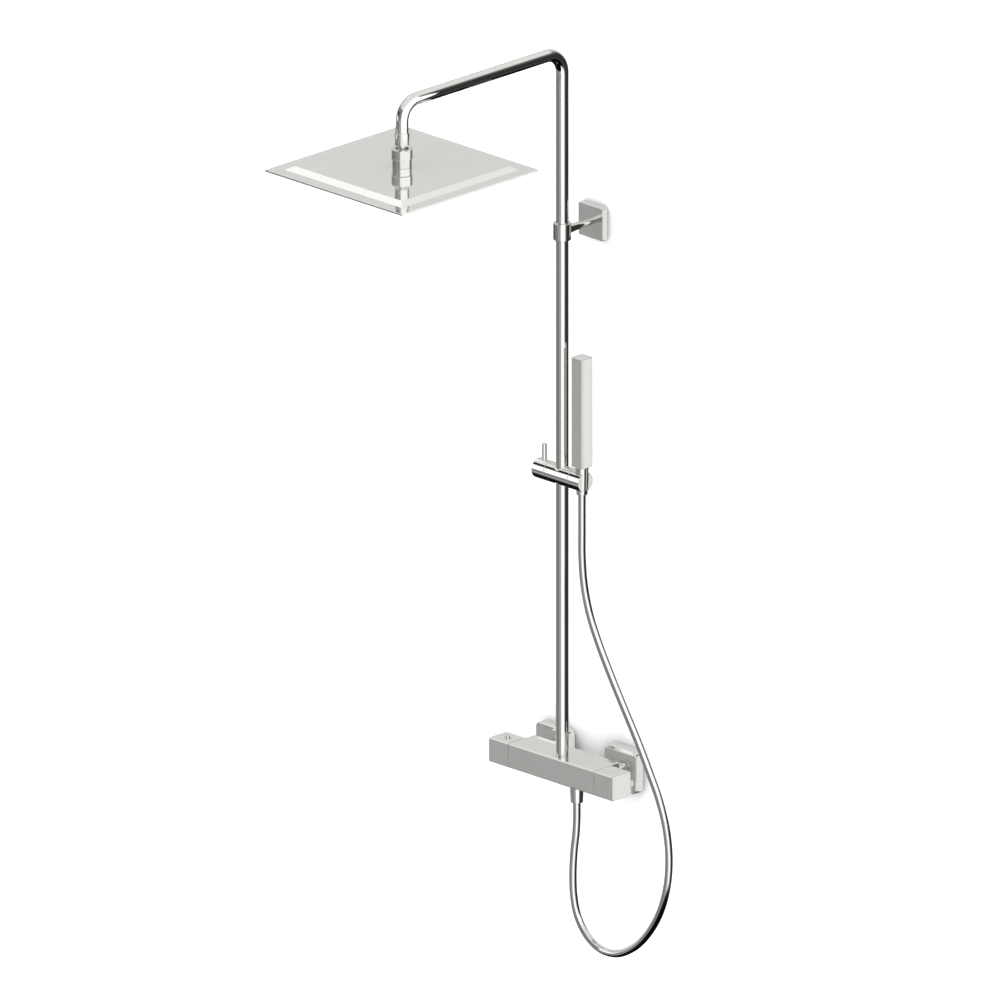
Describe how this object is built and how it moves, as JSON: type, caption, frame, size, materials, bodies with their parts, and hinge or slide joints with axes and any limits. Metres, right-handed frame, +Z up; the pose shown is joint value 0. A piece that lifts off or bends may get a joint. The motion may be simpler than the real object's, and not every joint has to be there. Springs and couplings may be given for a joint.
{
  "type": "rainfall shower column",
  "caption": "Exposed shower column: thermostatic bar mixer, riser with overhead arm, square rain head, slider, stick handset and hose.",
  "frame": {"origin": "centre of the upper wall bracket's back face, on the wall", "axes": "+X to the right along the wall, +Y into the wall, +Z up along the riser"},
  "size_m": [0.3894, 0.605, 1.4648],
  "materials": {
    "chrome": "polished chrome plate",
    "brass": "turned",
    "steel": "bright zinc",
    "hose": "smooth silver sheath",
    "rubber": "matt",
    "silicone": "satin silicone",
    "plastic": "satin"
  },
  "bodies": {
    "column": {"upper_wall_plate": "steel", "plate_grub_screw": "steel", "wall_screw_left": "steel", "wall_screw_right": "steel", "upper_rosette": "chrome", "bracket_rod": "chrome", "clamp_ring": "chrome", "ring_screw": "steel", "ring_grub_screw": "steel", "lower_riser": "chrome", "riser_joint_sleeve": "brass", "upper_riser": "chrome", "riser_nipple": "brass", "riser_o_ring": "rubber", "arm_end_sleeve": "chrome", "ball_stem": "chrome", "mixer_body": "chrome", "thermostatic_cartridge": "brass", "temperature_stop_ring": "plastic", "diverter_cartridge": "brass", "flow_stop_ring": "plastic", "inlet_nut_left": "chrome", "inlet_nut_right": "chrome", "inlet_filter_left": "rubber", "inlet_filter_right": "rubber", "inlet_union_left": "chrome", "inlet_union_right": "chrome", "inlet_rosette_left": "chrome", "inlet_rosette_right": "chrome", "hose_outlet_nipple": "brass", "check_valve": "plastic", "hose_lower_washer": "rubber", "hose_lower_nut": "chrome", "hose": "hose"},
    "temperature_knob": {"temperature_knob": "chrome", "thermostat_spindle": "brass", "temperature_grub_screw": "steel", "button_spring": "steel"},
    "safety_button": {"safety_button": "chrome"},
    "flow_knob": {"flow_knob": "chrome", "diverter_spindle": "brass", "flow_grub_screw": "steel"},
    "slider": {"slider_body": "chrome", "slider_bush": "plastic", "holder_screw": "steel"},
    "lock_knob": {"lock_knob": "chrome", "lock_lever": "chrome"},
    "brake_pad": {"brake_pad": "rubber"},
    "holder": {"handset_holder": "chrome"},
    "hose_end": {"hose_cone_nut": "chrome", "hose_upper_washer": "rubber"},
    "handset": {"handset_body": "chrome", "handset_spray_plate": "silicone", "handset_insert": "brass"},
    "ball_seat": {"ball_seat_ring": "plastic"},
    "swivel_nut": {"swivel_nut": "chrome"},
    "rain_head": {"head_boss": "chrome", "head_top_plate": "chrome", "nozzle_mat": "silicone", "head_face_plate": "chrome"}
  },
  "joints": [
    {"name": "temperature_turn", "type": "hinge", "parent": "column", "child": "temperature_knob", "pos_m": [-0.1195, -0.073, -0.877], "axis": [-1, 0, 0], "range_deg": [-190, 80]},
    {"name": "safety_press", "type": "slide", "parent": "temperature_knob", "child": "safety_button", "axis": [0, 0, -1], "range_m": [0, 0.002], "stiffness_N_per_m": 400, "springref_m": -0.004, "deforming": ["button_spring"]},
    {"name": "flow_turn", "type": "hinge", "parent": "column", "child": "flow_knob", "pos_m": [0.1095, -0.073, -0.877], "axis": [1, 0, 0], "range_deg": [-90, 90]},
    {"name": "slider_height", "type": "slide", "parent": "column", "child": "slider", "axis": [0, 0, 1], "range_m": [-0.15, 0.36], "deforming": ["hose"]},
    {"name": "lock_turn", "type": "hinge", "parent": "slider", "child": "lock_knob", "pos_m": [-0.039, -0.073, -0.399], "axis": [1, 0, 0], "range_deg": [0, 90]},
    {"name": "brake_release", "type": "slide", "parent": "slider", "child": "brake_pad", "axis": [-1, 0, 0], "range_m": [0, 0.0002]},
    {"name": "holder_tilt", "type": "hinge", "parent": "slider", "child": "holder", "pos_m": [0.0385, -0.073, -0.399], "axis": [1, 0, 0], "range_deg": [-15, 40]},
    {"name": "handset_lift", "type": "slide", "parent": "holder", "child": "hose_end", "axis": [0, 0, 1], "range_m": [0, 0.045]},
    {"name": "handset_spin", "type": "hinge", "parent": "hose_end", "child": "handset", "pos_m": [0.0432, -0.073, -0.375], "axis": [0, 0, 1], "continuous": true},
    {"name": "head_tilt_fore_aft", "type": "hinge", "parent": "column", "child": "ball_seat", "pos_m": [0, -0.423, 0.212], "axis": [1, 0, 0], "range_deg": [-12, 12]},
    {"name": "head_tilt_sideways", "type": "hinge", "parent": "ball_seat", "child": "swivel_nut", "pos_m": [0, -0.423, 0.212], "axis": [0, 1, 0], "range_deg": [-12, 12]},
    {"name": "head_swivel", "type": "hinge", "parent": "swivel_nut", "child": "rain_head", "pos_m": [0, -0.423, 0.212], "axis": [0, 0, 1], "continuous": true}
  ],
  "couplings": [
    {"joint": "brake_release", "follows": "lock_turn", "m_per_rad": 0.000127}
  ]
}
